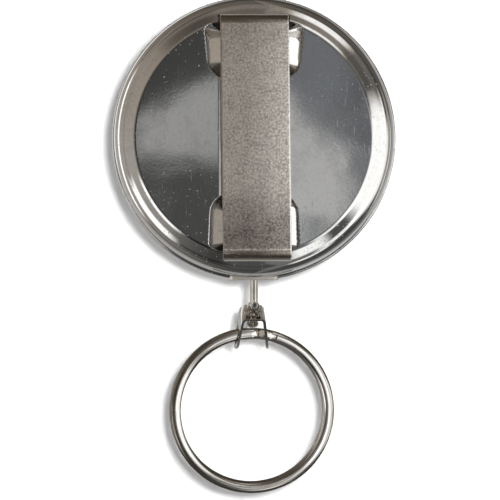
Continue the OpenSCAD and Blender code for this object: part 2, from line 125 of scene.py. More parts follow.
# %% Helpers for profiles
def draw_profile(name, points):
    """A chain of points, in mm, extruded one from the other."""
    bpy.ops.object.select_all(action="DESELECT")
    bpy.ops.mesh.primitive_plane_add(size=MM)
    piece = start(name)
    bpy.ops.object.mode_set(mode="EDIT")
    bpy.ops.mesh.select_mode(type="VERT")
    bpy.ops.mesh.select_all(action="SELECT")
    bpy.ops.mesh.merge(type="CENTER")
    here = (0.0, 0.0, 0.0)
    for i, point in enumerate(points):
        step = [(a - b) * MM for a, b in zip(point, here)]
        if i == 0:
            bpy.ops.transform.translate(value=step)
        else:
            bpy.ops.mesh.extrude_region_move(TRANSFORM_OT_translate={"value": step})
        here = point
    return piece


def spin_profile(piece, steps, axis=(0, 1, 0), centre=(0, 0, 0)):
    """Turn the drawn profile once about an axis, weld it and point its faces outwards."""
    bpy.ops.mesh.select_all(action="SELECT")
    middle = [c * MM for c in centre]
    bpy.ops.mesh.spin(steps=steps, angle=math.tau, center=middle, axis=axis)
    bpy.ops.mesh.select_all(action="SELECT")
    bpy.ops.mesh.remove_doubles(threshold=0.002 * MM)
    bpy.ops.mesh.normals_make_consistent(inside=False)
    bpy.ops.object.mode_set(mode="OBJECT")
    return piece


def widen_profile(way):
    """Pull the drawn profile out by a way in mm and point its faces outwards."""
    bpy.ops.mesh.select_all(action="SELECT")
    bpy.ops.mesh.extrude_region_move(TRANSFORM_OT_translate={"value": [c * MM for c in way]})
    bpy.ops.mesh.select_all(action="SELECT")
    bpy.ops.mesh.normals_make_consistent(inside=False)
    bpy.ops.object.mode_set(mode="OBJECT")


def bend(cx, cy, r, a0, a1, count):
    """Points of an arc between two angles in degrees."""
    turn = [math.radians(a0 + (a1 - a0) * i / count) for i in range(count + 1)]
    return [(cx + r * math.cos(a), cy + r * math.sin(a)) for a in turn]


# %% [markdown]
# ## Finishing a piece
# Modifiers are applied as soon as they are added, so that what we see is what the file
# holds. Every finished piece says which piece of the frame it stands for and which moving
# body it rides on.

# %% Helpers for finishing
def apply_modifier(piece, kind, **settings):
    """Add a modifier, set it and apply it."""
    pick(piece)
    tool = piece.modifiers.new(kind.title(), kind)
    for key, value in settings.items():
        setattr(tool, key, value)
    bpy.ops.object.modifier_apply(modifier=tool.name)


def soften(piece, width, segments=3):
    """Bevel the sharp edges of a piece, with a width in mm."""
    apply_modifier(piece, "BEVEL", width=width * MM, segments=segments,
                   limit_method="ANGLE", angle_limit=math.radians(50))


def cut(piece, cutter, operation="DIFFERENCE"):
    """Cut a piece with a closed shape, and throw the shape away."""
    apply_modifier(piece, "BOOLEAN", operation=operation, solver="MANIFOLD", object=cutter)
    bpy.data.objects.remove(cutter)


def smooth(piece, angle=30):
    """Smooth shading, but with edges kept where faces meet at more than an angle."""
    pick(piece)
    bpy.ops.object.shade_smooth_by_angle(angle=math.radians(angle))


def box_at(low, high):
    """A closed box between two corners in mm."""
    bpy.ops.object.select_all(action="DESELECT")
    middle = [(a + b) / 2 * MM for a, b in zip(low, high)]
    bpy.ops.mesh.primitive_cube_add(size=1, location=middle)
    box = bpy.context.object
    box.scale = [(b - a) * MM for a, b in zip(low, high)]
    bpy.ops.object.transform_apply(location=True, rotation=True, scale=True)
    return box


def rod_at(middle, radius, length, turn=(0, 0, 0), sides=96):
    """A closed round rod about a point in mm."""
    bpy.ops.object.select_all(action="DESELECT")
    bpy.ops.mesh.primitive_cylinder_add(vertices=sides, radius=radius * MM, depth=length * MM,
                                        location=[c * MM for c in middle], rotation=turn)
    bpy.ops.object.transform_apply(location=True, rotation=True, scale=True)
    return bpy.context.object


def mount(piece, node, body):
    """The piece stands for a node of the frame and rides on its body."""
    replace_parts(piece, node)
    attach(piece, body)
    faces = len(piece.data.polygons)
    print(f"{piece.name}: {faces} faces, stands for {node}")


# %% [markdown]
# ## The back cover's form
# The back cover is one pressed sheet: two flat pads, a slope round them, a soft shoulder
# and a straight skirt. Behind the clip the press has sunk a shallow channel and two
# deeper pockets, so that fingers and a belt can get in. Every one of these forms blends
# into the next with a small radius. A formula for the depth at each point gives such
# blends exactly, and polished steel shows the smallest error, so we write that first.

# %% Sizes of the pressed forms
# The pads stand this far above the shoulder, which is a quarter circle of this radius
PAD_RISE, SHOULDER = 0.5, 2.2
SHOULDER_R, SHOULDER_Y = SKIRT_R - SHOULDER, PAD_RISE + SHOULDER
# The formula holds up to this radius, and the shoulder's arc takes over
TURN_R = 24.53
# Where the slope round the pads begins and where it eases, how steep it is, how much it
# eases by, and how softly it does both
SLOPE_FROM, SLOPE_TO, STEEP, EASE = 22.45, 24.05, 0.31, 0.134
SLOPE_SOFT, RIM_SOFT = 0.45, 0.3
# The channel's half width and half length, its depth, and how far its slope runs
CHANNEL_HALF, CHANNEL_END, CHANNEL_DEPTH, CHANNEL_RUN = 6, 20, 0.4, 4.2
# The pockets' depth, their two ends, and how far their three slopes run
POCKET_DEPTH, POCKET_FROM, POCKET_TO = 2.2, 11, 21.5
SIDE_RUN, INNER_RUN, OUTER_RUN = 3, 3.2, 1.6
# Half width and taper of the upper and the lower pocket, and where the taper starts
UPPER_POCKET, LOWER_POCKET, TAPER_FROM = (9.3, 0.1), (8.4, 0.04), 21
# The dimple that the axle is riveted in, and how steep its wall is
DIMPLE_R, DIMPLE_STEEP = 4.6, 6
# How softly the channel, the pockets and the dimple meet the pads, and their own floors
CHANNEL_SOFT, POCKET_SOFT, DIMPLE_SOFT = 0.07, 0.09, 0.2
CHANNEL_FLOOR_SOFT, POCKET_FLOOR_SOFT = 0.06, 0.2
print("shoulder's centre at radius", round(SHOULDER_R, 2), "and depth", round(SHOULDER_Y, 2))

# %% [markdown]
# Where two forms meet, the greater or the lesser depth counts, and a rounded version of
# that choice gives the small radius between them. A pocket is a floor less a climb that
# grows towards its sides and ends.

# %% Depth of the back cover at a point
def ramp(t, soft):
    """Zero below zero and t above it, with a rounded corner."""
    t = np.asarray(t, float)
    return np.where(t < -soft, 0, np.where(t > soft, t, (t + soft) ** 2 / (4 * soft)))


def blend_max(a, b, soft):
    """The greater of two depths, with the meeting line rounded."""
    return b + ramp(a - b, soft)


def blend_min(a, b, soft):
    """The lesser of two depths, with the meeting line rounded."""
    return a - ramp(a - b, soft)


def pocket(x, out, half, taper):
    """One pocket, where out is the distance from the middle towards its end of the case."""
    sideways = 1 - (half - taper * (TAPER_FROM - out) - np.abs(x)) / SIDE_RUN
    inner = 1 - (out - POCKET_FROM) / INNER_RUN
    outer = 1 - (POCKET_TO - out) / OUTER_RUN
    lengthways = np.maximum(inner, outer)
    climb = np.hypot(np.maximum(sideways, 0), np.maximum(lengthways, 0))
    return blend_min(POCKET_DEPTH * (1 - climb), POCKET_DEPTH, POCKET_FLOOR_SOFT)


def pad_depth(x, z):
    """Depth in mm of the pads, slope, channel, pockets and dimple."""
    r = np.hypot(x, z)
    depth = STEEP * ramp(r - SLOPE_FROM, SLOPE_SOFT) - EASE * ramp(r - SLOPE_TO, RIM_SOFT)
    sides = (CHANNEL_HALF - np.abs(x)) / CHANNEL_RUN
    channel = np.minimum(sides, CHANNEL_END - np.abs(z)) * CHANNEL_DEPTH
    channel = blend_min(channel, CHANNEL_DEPTH, CHANNEL_FLOOR_SOFT)
    depth = blend_max(channel, depth, CHANNEL_SOFT)
    depth = blend_max(pocket(x, z, *UPPER_POCKET), depth, POCKET_SOFT)
    depth = blend_max(pocket(x, -z, *LOWER_POCKET), depth, POCKET_SOFT)
    dimple = np.minimum((DIMPLE_R - r) * DIMPLE_STEEP, POCKET_DEPTH)
    return blend_max(dimple, depth, DIMPLE_SOFT)


print("depth in the dimple and in a pocket:", pad_depth(0, 0), round(float(pad_depth(5, 16)), 2))

# %% [markdown]
# ## The back cover
# We draw the section out from the axis, with its points close together where the sheet
# bends, spin it, and press it to the depths above. Solidify gives the sheet its
# thickness, and cuts open the slot for the clip and the place of the chain guide.

# %% Spin the back cover
# Each stretch of the section has its two radii and its number of points
stretches = [(0, 4, 6), (4, 5, 7), (5, 22, 68), (22, TURN_R, 18)]
section = [(a + (b - a) * i / count, 0, 0) for a, b, count in stretches for i in range(count)]
section += [(r, y, 0) for r, y in bend(SHOULDER_R, SHOULDER_Y, SHOULDER, -80, 0, 14)]
section += [(SKIRT_R, y, 0) for y in (4.5, 6.4, SKIRT_END)]
back_cover = spin_profile(draw_profile("back_cover_shell", section), 384)
NEAR = 0.01
co = np.array([v.co for v in back_cover.data.vertices]) / MM
flat = np.hypot(co[:, 0], co[:, 2]) < TURN_R - NEAR
co[flat, 1] = pad_depth(co[flat, 0], co[flat, 2])
back_cover.data.vertices.foreach_set("co", (co * MM).ravel())
back_cover.data.update()
print("back cover sheet:", len(co), "points")

# %% [markdown]
# The clip's hook needs a slot with some room round it. The chain guide's plate and neck
# pass through both covers, which overlap at the lowest point, so one function makes
# these two openings in either cover.

# %% Give the sheet its thickness and open it
HOOK_LEN, SLOT_ROOM, SLOT_DEEP = 2, 0.4, 1.9
CLIP_TOP = CLIP_HIGH[2] - HOOK_LEN + CLIP_T
GUIDE_IN = GUIDE_LOW[2] + PLATE_T
# How far a cutter reaches past what it cuts
OVER = 1
# The neck's radius, and the middle and length of the rods that cut for it
NECK_R, NECK_Z, NECK_CUT = 3.5, OVER - CASE_R, 4


def open_for_guide(cover):
    """Cut the notch for the guide's plate and the round hole for its neck."""
    low = (GUIDE_LOW[0] - FIT, GUIDE_LOW[1] - FIT, -CASE_R - OVER)
    high = (GUIDE_HIGH[0] + FIT, GUIDE_HIGH[1] + FIT, GUIDE_IN + FIT)
    cut(cover, box_at(low, high))
    cut(cover, rod_at((0, EXIT_Y, NECK_Z), NECK_R + FIT, NECK_CUT))


if back_cover.data.polygons[0].normal.y > 0:
    back_cover.data.flip_normals()
apply_modifier(back_cover, "SOLIDIFY", thickness=SHEET * MM, offset=-1)
slot_low = (CLIP_LOW[0] - SLOT_ROOM, -OVER, CLIP_TOP - CLIP_T - SLOT_ROOM)
slot_high = (CLIP_HIGH[0] + SLOT_ROOM, SLOT_DEEP, CLIP_TOP + SLOT_ROOM)
cut(back_cover, box_at(slot_low, slot_high))
open_for_guide(back_cover)
print("back cover opened:", len(back_cover.data.polygons), "faces")

# %% [markdown]
# ## Normals for a perfect mirror
# Smooth shading averages the directions of neighbouring faces, and a mirror shows that
# as ripples. Our formula knows the true direction at every point: it is the slope of
# the depth, measured between two points close by. We write those directions into the
# mesh as custom normals. Inner faces and cut edges keep the direction of their own face.

# %% Exact directions of the outer surface
def read(rows, name, kind=float, width=1):
    """One property of all rows of a mesh, as an array."""
    values = np.zeros(len(rows) * width, kind)
    rows.foreach_get(name, values)
    return values.reshape(-1, width) if width > 1 else values


def shoulder_depth(r):
    """Depth in mm of the shoulder's arc at a radius."""
    return SHOULDER_Y - np.sqrt(np.clip(SHOULDER ** 2 - (r - SHOULDER_R) ** 2, 0, None))


def true_normals(x, y, z):
    """Directions of the outer surface at points in mm, from the formula and the arc."""
    r = np.maximum(np.hypot(x, z), 1e-6)
    rise_x = (pad_depth(x + NEAR, z) - pad_depth(x - NEAR, z)) / (2 * NEAR)
    rise_z = (pad_depth(x, z + NEAR) - pad_depth(x, z - NEAR)) / (2 * NEAR)
    pads = np.stack([rise_x, -np.ones_like(rise_x), rise_z], 1)
    lean = np.where(y > SHOULDER_Y, 1, np.clip((r - SHOULDER_R) / SHOULDER, 0, 1))
    shoulder = np.stack([lean * x / r, -np.sqrt(1 - lean ** 2), lean * z / r], 1)
    true = np.where((r > TURN_R - NEAR)[:, None], shoulder, pads)
    return true / np.linalg.norm(true, axis=1)[:, None]


# %% [markdown]
# Only corners on the outer surface may take those directions. A point counts as such
# when it lies on the formula's surface, and its face must look roughly the same way.

# %% Write the normals
# How far in mm a point of the skirt, or of the pads, may lie from the outer surface
SKIRT_OFF, PAD_OFF = 0.02, 0.03


def set_cover_normals(piece):
    """Outer faces take the true directions, all others keep those of their own face."""
    pick(piece)
    bpy.ops.object.shade_smooth()
    mesh = piece.data
    mesh.update()
    x, y, z = read(mesh.vertices, "co", width=3).T / MM
    r = np.hypot(x, z)
    depth = np.where(r < TURN_R - NEAR, pad_depth(x, z), shoulder_depth(r))
    outer = np.where(y > SHOULDER_Y, np.abs(r - SKIRT_R) < SKIRT_OFF, np.abs(y - depth) < PAD_OFF)
    corner = read(mesh.loops, "vertex_index", int)
    corners_of_face = read(mesh.polygons, "loop_total", int)
    own = np.repeat(read(mesh.polygons, "normal", width=3), corners_of_face, axis=0)
    wanted = true_normals(x, y, z)[corner]
    good = outer[corner] & ((wanted * own).sum(1) > 0.5)
    mesh.normals_split_custom_set(np.where(good[:, None], wanted, own).tolist())
    print(piece.name, "exact normals on", int(good.sum()), "of", len(corner), "corners")


set_cover_normals(back_cover)
mount(back_cover, "back_cover", "case")

# %% [markdown]
# ## The front cover
# The front cover is a plain pressed cap: a raised middle, a soft shoulder and a skirt
# that closes over the back cover. It is drawn and turned in the same way, with both of
# its sides in one closed section and its free edge rounded.

# %% Spin the front cover
# Radius of the shoulder and of the raised middle, and where the skirt and its lip begin
FRONT_ROUND, PLATEAU_R, FRONT_SKIRT_Y, LIP_Y = 2.4, CASE_R - 6, 8, 6.5
round_r, round_y = CASE_R - FRONT_ROUND, CASE_DEPTH - PAD_RISE - FRONT_ROUND
# The edge of the raised middle: how far out from its radius, and how far down
plateau_edge = [(-0.4, 0.01), (-0.1, 0.05), (0.15, 0.16), (0.65, 0.37), (0.95, 0.46), (1.3, 0.5)]
# A few points on the flat stretches keep the faces there short
outside = [(r, CASE_DEPTH) for r in (0, 5, 11, 17, 20)]
outside += [(PLATEAU_R + out, CASE_DEPTH - down) for out, down in plateau_edge]
outside += [(23.4, CASE_DEPTH - PAD_RISE)] + bend(round_r, round_y, FRONT_ROUND, 90, 0, 16)
outside += [(CASE_R, FRONT_SKIRT_Y)]
lip = bend(CASE_R - SHEET / 2, LIP_Y, SHEET / 2, 0, -180, 8)
inside = [(CASE_R - SHEET, FRONT_SKIRT_Y)]
inside += bend(round_r, round_y, FRONT_ROUND - SHEET, 0, 90, 8)
inside += [(PLATEAU_R + 0.6, CASE_DEPTH - PAD_RISE - SHEET), (PLATEAU_R - 0.2, CASE_DEPTH - SHEET)]
inside += [(0, CASE_DEPTH - SHEET)]
profile = [(r, y, 0) for r, y in outside + lip + inside]
front_cover = spin_profile(draw_profile("front_cover_shell", profile), 256)
open_for_guide(front_cover)
smooth(front_cover, 28)
mount(front_cover, "front_cover", "case")

# %% [markdown]
# ## The belt clip
# The clip is one strip of half-inch steel. It hooks into the case, folds over a tight
# bend, runs straight down and rolls in at its end. We draw its side view as a closed
# outline, fill it, and pull it out to the strip's width. Rolling leaves the strip's
# edges slightly round, and a bevel catches the light there as they do.

# %% Draw, fill and widen the clip
# The bends' inner radius, and how far the lower end is rolled in
INNER_BEND, LIP_REACH = 0.9, 1.6
OUTER_BEND = INNER_BEND + CLIP_T
bend_y = CLIP_LOW[1] + OUTER_BEND
top_z, low_z = CLIP_TOP - OUTER_BEND, CLIP_LOW[2] + OUTER_BEND
hook_y = CLIP_HIGH[1]
outline = bend(bend_y, top_z, OUTER_BEND, 180, 90, 14)
outline += [(hook_y - CLIP_T, CLIP_TOP), (hook_y - CLIP_T, CLIP_HIGH[2])]
outline += [(hook_y, CLIP_HIGH[2]), (hook_y, CLIP_TOP - CLIP_T)]
outline += bend(bend_y, top_z, INNER_BEND, 90, 180, 12)
outline += bend(bend_y, low_z, INNER_BEND, 180, 270, 12)
outline += [(bend_y + LIP_REACH, CLIP_LOW[2] + CLIP_T), (bend_y + LIP_REACH, CLIP_LOW[2])]
outline += bend(bend_y, low_z, OUTER_BEND, 270, 180, 14)
clip = draw_profile("belt_clip_strip", [(CLIP_LOW[0], y, z) for y, z in outline])
bpy.ops.mesh.select_all(action="SELECT")
bpy.ops.mesh.edge_face_add()
widen_profile((CLIP_HIGH[0] - CLIP_LOW[0], 0, 0))
soften(clip, 0.24)
print("clip outline:", len(outline), "points")

# %% [markdown]
# The real clip hangs a little askew in its slot, by less than one degree. Its points
# slide sideways in proportion to their distance from the slot.

# %% Let the clip lean
CLIP_SHIFT, CLIP_LEAN = 0.09, 0.0128
for v in clip.data.vertices:
    v.co.x += CLIP_SHIFT * MM + (CLIP_TOP * MM - v.co.z) * CLIP_LEAN
smooth(clip, 25)
mount(clip, "belt_clip", "clip")

# %% [markdown]
# ## The chain guide
# A small plate closes the case where the chain runs out. Its neck goes through both
# covers, and a rolled eyelet lines it so that the chain doesn't wear. The plate is a
# cube whose four corner edges are rounded first and all other edges after them. Then
# the neck is joined to it, and the bore is cut last.

# %% Plate, neck and bore
def choose_edges(piece, test):
    """Select the edges of a piece whose middle passes test(x, y, z), in mm."""
    bpy.ops.object.mode_set(mode="EDIT")
    bpy.ops.mesh.select_mode(type="EDGE")
    bpy.ops.mesh.select_all(action="DESELECT")
    bpy.ops.object.mode_set(mode="OBJECT")
    points = [v.co / MM for v in piece.data.vertices]
    for edge in piece.data.edges:
        a, b = (points[i] for i in edge.vertices)
        edge.select = bool(test(*(a + b) / 2))
    bpy.ops.object.mode_set(mode="EDIT")


def at_plate_corner(x, y, z):
    """True for the middle of an edge that runs through the plate's thickness."""
    on_side = abs(abs(x) - GUIDE_HIGH[0]) < 0.1
    half_way = abs(z - (GUIDE_LOW[2] + GUIDE_IN) / 2) < 0.1
    return on_side and half_way and abs(y - EXIT_Y) > 3


box_at(GUIDE_LOW, (GUIDE_HIGH[0], GUIDE_HIGH[1], GUIDE_IN))
plate = start("chain_guide_plate")
pick(plate)
choose_edges(plate, at_plate_corner)
bpy.ops.mesh.bevel(offset=0.7 * MM, segments=6)
bpy.ops.object.mode_set(mode="OBJECT")
soften(plate, 0.16)
neck_len = GUIDE_HIGH[2] - GUIDE_IN
cut(plate, rod_at((0, EXIT_Y, GUIDE_IN + neck_len / 2), NECK_R, neck_len), "UNION")
BORE_R = 3.0
cut(plate, rod_at((0, EXIT_Y, NECK_Z), BORE_R, NECK_CUT))
smooth(plate, 28)
mount(plate, "chain_guide", "case")

# %% [markdown]
# The eyelet is a short tube whose outer end is rolled round into a mouth. Half of its
# section is two points and an arc.

# %% Spin the eyelet
EXIT_R, EYELET_WALL = 2.6, 0.4
mouth = [(BORE_R - FIT, GUIDE_HIGH[2]), (EXIT_R, GUIDE_HIGH[2])]
mouth += bend(EXIT_R + EYELET_WALL, GUIDE_LOW[2] + EYELET_WALL, EYELET_WALL, 180, 262, 8)
eyelet = draw_profile("guide_eyelet_ring", [(r, EXIT_Y, z) for r, z in mouth + mouth[:1]])
spin_profile(eyelet, 96, axis=(0, 0, 1), centre=(0, EXIT_Y, 0))
smooth(eyelet, 28)
mount(eyelet, "guide_eyelet", "case")

# %% [markdown]
# ## The swivel's own frame
# The link, pin, stirrup and ring hang in line, turned 5 degrees about the vertical, and
# the swivel leans back by 32 degrees as it lies in the photograph. We build pin and
# stirrup upright about the middle of the stirrup's top, where they are easy to draw, and
# then carry their points to their place.

# %% Helper for hanging pieces
HANG, TILT = math.radians(5), math.radians(32)
# Height of the centre of the link's lower bow, and the stirrup's top below it
BOW_Z, TOP_DROP = -30.75, 2.7


def hang(piece, tilt=0.0, drop=0.0, z=BOW_Z):
    """Lower a piece, tilt it about the link's lower bow and turn it with the chain."""
    pick(piece)
    for v in piece.data.vertices:
        x, y, h = v.co.x, v.co.y, v.co.z - drop * MM
        y, h = y * math.cos(tilt) - h * math.sin(tilt), y * math.sin(tilt) + h * math.cos(tilt)
        x, y = x * math.cos(HANG) - y * math.sin(HANG), x * math.sin(HANG) + y * math.cos(HANG)
        v.co = (x, y + EXIT_Y * MM, h + z * MM)
    piece.data.update()


print("swivel tilt in degrees:", round(math.degrees(TILT), 1))

# %% [markdown]
# ## The swivel pin
# The pin has an eye that hangs on the link, a straight shank through the stirrup's top,
# and a domed head that the stirrup rests on. Shank and head are one turned profile, and
# the eye is a torus, widened along its axis, that is joined to it.

# %% Turn the pin and add its eye
# The strip's thickness, and the radius and length of the shank below it
STRIP_T, SHANK_R, SHANK_LEN = 0.5, 0.575, 1.948
head = -STRIP_T - SHANK_LEN
# The head's dome: how far out, and how far below the head's upper face
dome = [(0, 0.8), (0.5, 0.78), (0.85, 0.66), (1.04, 0.46), (1.1, 0.25), (1.1, 0.08), (1.02, 0), (0.7, 0)]
profile = [(r, 0, head - down) for r, down in dome]
profile += [(SHANK_R, 0, head + 0.1), (SHANK_R, 0, 0.3), (SHANK_R, 0, STRIP_T), (0, 0, STRIP_T)]
pin = draw_profile("swivel_pin_turned", profile)
spin_profile(pin, 48, axis=(0, 0, 1))
# The eye's height and radius, the radius of its wire, and how much it is widened
EYE_Z, EYE_R, EYE_WIRE, EYE_WIDEN = 1.25, 1.01, 0.19, 2.3
bpy.ops.object.select_all(action="DESELECT")
bpy.ops.mesh.primitive_torus_add(major_radius=EYE_R * MM, minor_radius=EYE_WIRE * MM,
                                 major_segments=64, minor_segments=20,
                                 rotation=(math.pi / 2, 0, 0), location=(0, 0, EYE_Z * MM))
eye = bpy.context.object
eye.scale = (1, 1, EYE_WIDEN)
bpy.ops.object.transform_apply(location=True, rotation=True, scale=True)
cut(pin, eye, "UNION")
hang(pin, TILT, TOP_DROP)
smooth(pin, 35)
mount(pin, "swivel_pin", "pin")

# %% [markdown]
# ## The stirrup
# The stirrup is a 5 mm strip folded over the pin, with legs that splay by 8 degrees and
# end in round lobes, each with a hole for the ring. We draw the strip edge on, widen it,
# thicken it, and keep only what lies inside a cube and a rod, which rounds the lobes.

# %% Fold the strip
# The strip's depth, half the width over its folds, and the folds' radius
STRIP_DEEP, STRIP_HALF, STRIP_BEND, SPLAY = 5, 2.35, 1.1, math.radians(8)
# From the strip's top to the holes, and the radii of lobes and holes
LEG_LEN, LOBE_R, HOLE_R = 5.3, 2.7, 1.9
# The strip is drawn this far down, and is cut back to its lobes
STRIP_END = -8.6


def fold_half():
    """Points of half the strip, from the middle of its top down the right leg."""
    points = bend(STRIP_HALF - STRIP_BEND, -STRIP_BEND, STRIP_BEND, 90, 8, 10)
    x, z = points[-1]
    return [(0, 0)] + points + [(x + (z - STRIP_END) * math.tan(SPLAY), STRIP_END)]


half = fold_half()
line = [(-x, z) for x, z in reversed(half)] + half[1:]
stirrup = draw_profile("swivel_stirrup_strip", [(x, -STRIP_DEEP / 2, z) for x, z in line])
widen_profile((0, STRIP_DEEP, 0))
if max(stirrup.data.polygons, key=lambda f: f.center.z).normal.z < 0:
    stirrup.data.flip_normals()
apply_modifier(stirrup, "SOLIDIFY", thickness=STRIP_T * MM, offset=-1)
print("stirrup folded from", len(line), "points")

# %% [markdown]
# The cube keeps the strip down to the holes, and the rod keeps a round lobe about each
# of them. Two more rods drill the holes for the ring and the one for the pin.

# %% Round the lobes and drill the strip
ALONG_X = (0, math.pi / 2, 0)
# Half width and half depth of the cube, both a little more than the strip's
KEEP_HALF, KEEP_DEEP = 6, 2.6
keep = box_at((-KEEP_HALF, -KEEP_DEEP, -LEG_LEN), (KEEP_HALF, KEEP_DEEP, OVER))
cut(keep, rod_at((0, 0, -LEG_LEN), LOBE_R, 2 * KEEP_HALF, ALONG_X, 128), "UNION")
cut(stirrup, keep, "INTERSECT")
cut(stirrup, rod_at((0, 0, -LEG_LEN), HOLE_R, 2 * (KEEP_HALF + OVER), ALONG_X))
cut(stirrup, rod_at((0, 0, 0), SHANK_R + FIT, 4 * OVER, sides=48))
soften(stirrup, 0.07, 2)
hang(stirrup, TILT, TOP_DROP)
smooth(stirrup, 30)
mount(stirrup, "swivel_stirrup", "stirrup")

# %% [markdown]
# ## The split ring
# The ring is rolled wire wound almost twice round, so a key can be threaded on. Its
# section is a flattened oval, which we draw point by point and spin through both turns.
# Then each section moves to its depth: the first turn lies in front, and a short
# crossover brings the wire behind it. The two ends are closed with a face each.

# %% Wind the ring
# The winding's mean radius, the wire's width and thickness, and each turn's depth off the middle
RING_R, WIRE_W, WIRE_T, LAYER = 14.8, 2.15, 1.1, 0.775
# Angles in degrees, clockwise from the top: first end, whole winding, start and length of the crossover
FIRST, TURNS, CROSS_FROM, CROSS_TURN = 19, 697, 361, 14
STEPS, CORNERS = 420, 24


def ring_depth(angle):
    """Depth in mm of the wire's middle at an angle round the winding."""
    s = min(1, max(0, (angle - CROSS_FROM) / CROSS_TURN))
    return LAYER * (2 * s * s * (3 - 2 * s) - 1)


def oval(share, flatness):
    """A cosine or sine pressed outwards, so that the oval has fuller corners."""
    return math.copysign(abs(share) ** flatness, share)


loop = []
for i in range(CORNERS):
    c, s = math.cos(math.tau * i / CORNERS), math.sin(math.tau * i / CORNERS)
    loop.append((RING_R + WIRE_W / 2 * oval(c, 0.85), WIRE_T / 2 * oval(s, 0.72), 0))
ring = draw_profile("split_ring_wire", loop)
bpy.ops.mesh.select_all(action="SELECT")
bpy.ops.mesh.edge_face_add()
bpy.ops.mesh.delete(type="ONLY_FACE")
bpy.ops.mesh.select_all(action="SELECT")
bpy.ops.mesh.spin(steps=STEPS, angle=math.radians(TURNS), center=(0, 0, 0), axis=(0, 1, 0),
                  use_auto_merge=False)
bpy.ops.object.mode_set(mode="OBJECT")
for i, v in enumerate(ring.data.vertices):
    turn = FIRST + TURNS * (i // CORNERS) / STEPS
    reach = math.hypot(v.co.x, v.co.z)
    v.co = (reach * math.sin(math.radians(turn)), v.co.y + ring_depth(turn) * MM,
            reach * math.cos(math.radians(turn)))
print("ring wound in", STEPS, "steps")

# %% [markdown]
# Each end of the wire is an open loop of points, the first and the last that we drew. We
# select such a loop and fill it. Then the ring is lowered so far that its upper arc runs
# through the stirrup's two holes.

# %% Close the ring's ends and hang it
for first in (0, len(ring.data.vertices) - CORNERS):
    bpy.ops.object.mode_set(mode="EDIT")
    bpy.ops.mesh.select_all(action="DESELECT")
    bpy.ops.object.mode_set(mode="OBJECT")
    for v in ring.data.vertices[first:first + CORNERS]:
        v.select = True
    bpy.ops.object.mode_set(mode="EDIT")
    bpy.ops.mesh.edge_face_add()
bpy.ops.mesh.select_all(action="SELECT")
bpy.ops.mesh.normals_make_consistent(inside=False)
bpy.ops.object.mode_set(mode="OBJECT")
# The holes' distance from the bow, and half the distance between the legs' middles there
hole_drop = TOP_DROP + LEG_LEN
leg_half = 2.69
ring_y = hole_drop * math.sin(TILT)
ring_z = BOW_Z - hole_drop * math.cos(TILT) - math.sqrt(RING_R ** 2 - leg_half ** 2)
for v in ring.data.vertices:
    v.co.y += ring_y * MM
    v.co.z += ring_z * MM
hang(ring, z=0)
smooth(ring, 40)
mount(ring, "split_ring", "ring")

# %% [markdown]
# ## Shader maths as plain expressions
# Node trees are long to wire by hand. One small class stands for a socket, so that
# adding or multiplying two of them adds the Math node for it. All other nodes come from
# one function that takes the node's type, its settings and its inputs.

# %% The socket wrapper
class Wire:
    """An output of a node. Sums and products of wires add the nodes for them."""
    def __init__(self, tree, socket):
        self.tree, self.socket = tree, socket

    def math(self, operation, *others):
        values = {i: v for i, v in enumerate((self,) + others)}
        return add_node(self.tree, "Math", {"operation": operation}, values)

    def __add__(self, other):
        return self.math("ADD", other)

    def __sub__(self, other):
        return self.math("SUBTRACT", other)

    def __mul__(self, other):
        return self.math("MULTIPLY", other)

    def __truediv__(self, other):
        return self.math("DIVIDE", other)

    def __neg__(self):
        return self.math("MULTIPLY", -1.0)

    def __radd__(self, other):
        return self + other

    def __rmul__(self, other):
        return self * other

    def __rsub__(self, other):
        return (-self) + other

    def most(self, other):
        return self.math("MAXIMUM", other)

    def least(self, other):
        return self.math("MINIMUM", other)

    def clamped(self):
        return self.most(0.0).least(1.0)

    def step(self, low, high):
        """0 below low and 1 above high, with a soft change between."""
        values = {0: self, 1: low, 2: high, 3: 0.0, 4: 1.0}
        return add_node(self.tree, "MapRange", {"interpolation_type": "SMOOTHSTEP"}, values)

    def band(self, low, high, soft):
        """1 between low and high, with soft edges."""
        return self.step(low - soft, low + soft) * (1 - self.step(high - soft, high + soft))


def add_node(tree, kind, settings=None, inputs=None, out=0):
    """Add a shader node, give it its settings, then link or set its sockets."""
    node = tree.nodes.new("ShaderNode" + kind)
    for key, value in (settings or {}).items():
        setattr(node, key, value)
    for key, value in (inputs or {}).items():
        if isinstance(value, Wire):
            tree.links.new(value.socket, node.inputs[key])
        else:
            node.inputs[key].default_value = value
    return Wire(tree, node.outputs[out])


# %% [markdown]
# A few kinds of node turn up in every finish, so each has a short function. `tone` mixes
# two colours by a mask, `noise` is a cloudy pattern, `mapped` stretches and turns a
# pattern, `split` takes a vector apart, and `bumped` dents the surface by a height.

# %% Helpers for patterns
def tone(tree, mask, low, high):
    """Mix two colours by a mask. Either may be a plain colour or a link."""
    low, high = (c if isinstance(c, Wire) else (*c, 1.0) for c in (low, high))
    return add_node(tree, "Mix", {"data_type": "RGBA"}, {0: mask, 6: low, 7: high}, out=2)


def noise(tree, place, scale, detail=2.0, rough=0.5, warp=0.0):
    values = {"Vector": place, "Scale": scale, "Detail": detail, "Roughness": rough, "Distortion": warp}
    return add_node(tree, "TexNoise", None, values)


def mapped(tree, place, scale=(1, 1, 1), turn=(0, 0, 0), shift=(0, 0, 0)):
    values = {"Vector": place, "Scale": scale, "Rotation": turn, "Location": shift}
    return add_node(tree, "Mapping", None, values)


def split(tree, vector):
    """The three coordinates of a vector."""
    return [add_node(tree, "SeparateXYZ", None, {0: vector}, out=i) for i in range(3)]


